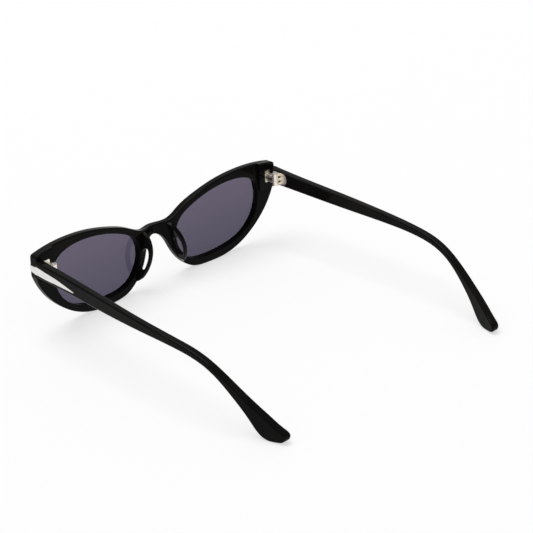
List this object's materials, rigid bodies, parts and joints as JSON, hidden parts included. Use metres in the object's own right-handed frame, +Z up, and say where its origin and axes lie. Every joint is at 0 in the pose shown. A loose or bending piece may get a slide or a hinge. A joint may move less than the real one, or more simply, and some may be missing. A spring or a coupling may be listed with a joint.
{
  "type": "cat eye sunglasses",
  "caption": "Cat eye sunglasses in black acetate with tinted lenses, nose pads, barrel hinges, metal darts at the corners and temples that fold.",
  "frame": {"origin": "centre of the footprint of the open sunglasses, on the surface they stand on", "axes": "+X is the wearer's left, +Y runs from the front towards the temple tips, +Z is up"},
  "size_m": [0.1454, 0.1493, 0.0393],
  "materials": {
    "black_acetate": "polished black acetate",
    "smoke_lens": "smoke tinted lens",
    "hinge_metal": "satin nickel silver",
    "screw_metal": "turned steel",
    "dart_metal": "brushed silver",
    "core_wire": "drawn wire"
  },
  "bodies": {
    "front": {"front_frame": "black_acetate", "end_block_left": "black_acetate", "end_block_right": "black_acetate", "nose_pad_left": "black_acetate", "nose_pad_right": "black_acetate", "lens_left": "smoke_lens", "lens_right": "smoke_lens", "front_hinge_left": "hinge_metal", "front_hinge_right": "hinge_metal", "hinge_screw_left": "screw_metal", "hinge_screw_right": "screw_metal", "corner_dart_left": "dart_metal", "corner_dart_right": "dart_metal"},
    "left_temple": {"temple_left": "black_acetate", "temple_core_left": "core_wire", "temple_hinge_left": "hinge_metal", "temple_dart_left": "dart_metal"},
    "right_temple": {"temple_right": "black_acetate", "temple_core_right": "core_wire", "temple_hinge_right": "hinge_metal", "temple_dart_right": "dart_metal"}
  },
  "joints": [
    {"name": "left_temple_hinge", "type": "hinge", "parent": "front", "child": "left_temple", "pos_m": [0.0651, -0.05948, 0.0318], "axis": [0, 0, 1], "range_deg": [0, 91]},
    {"name": "right_temple_hinge", "type": "hinge", "parent": "front", "child": "right_temple", "pos_m": [-0.0651, -0.05948, 0.0318], "axis": [0, 0, -1], "range_deg": [0, 86]}
  ]
}
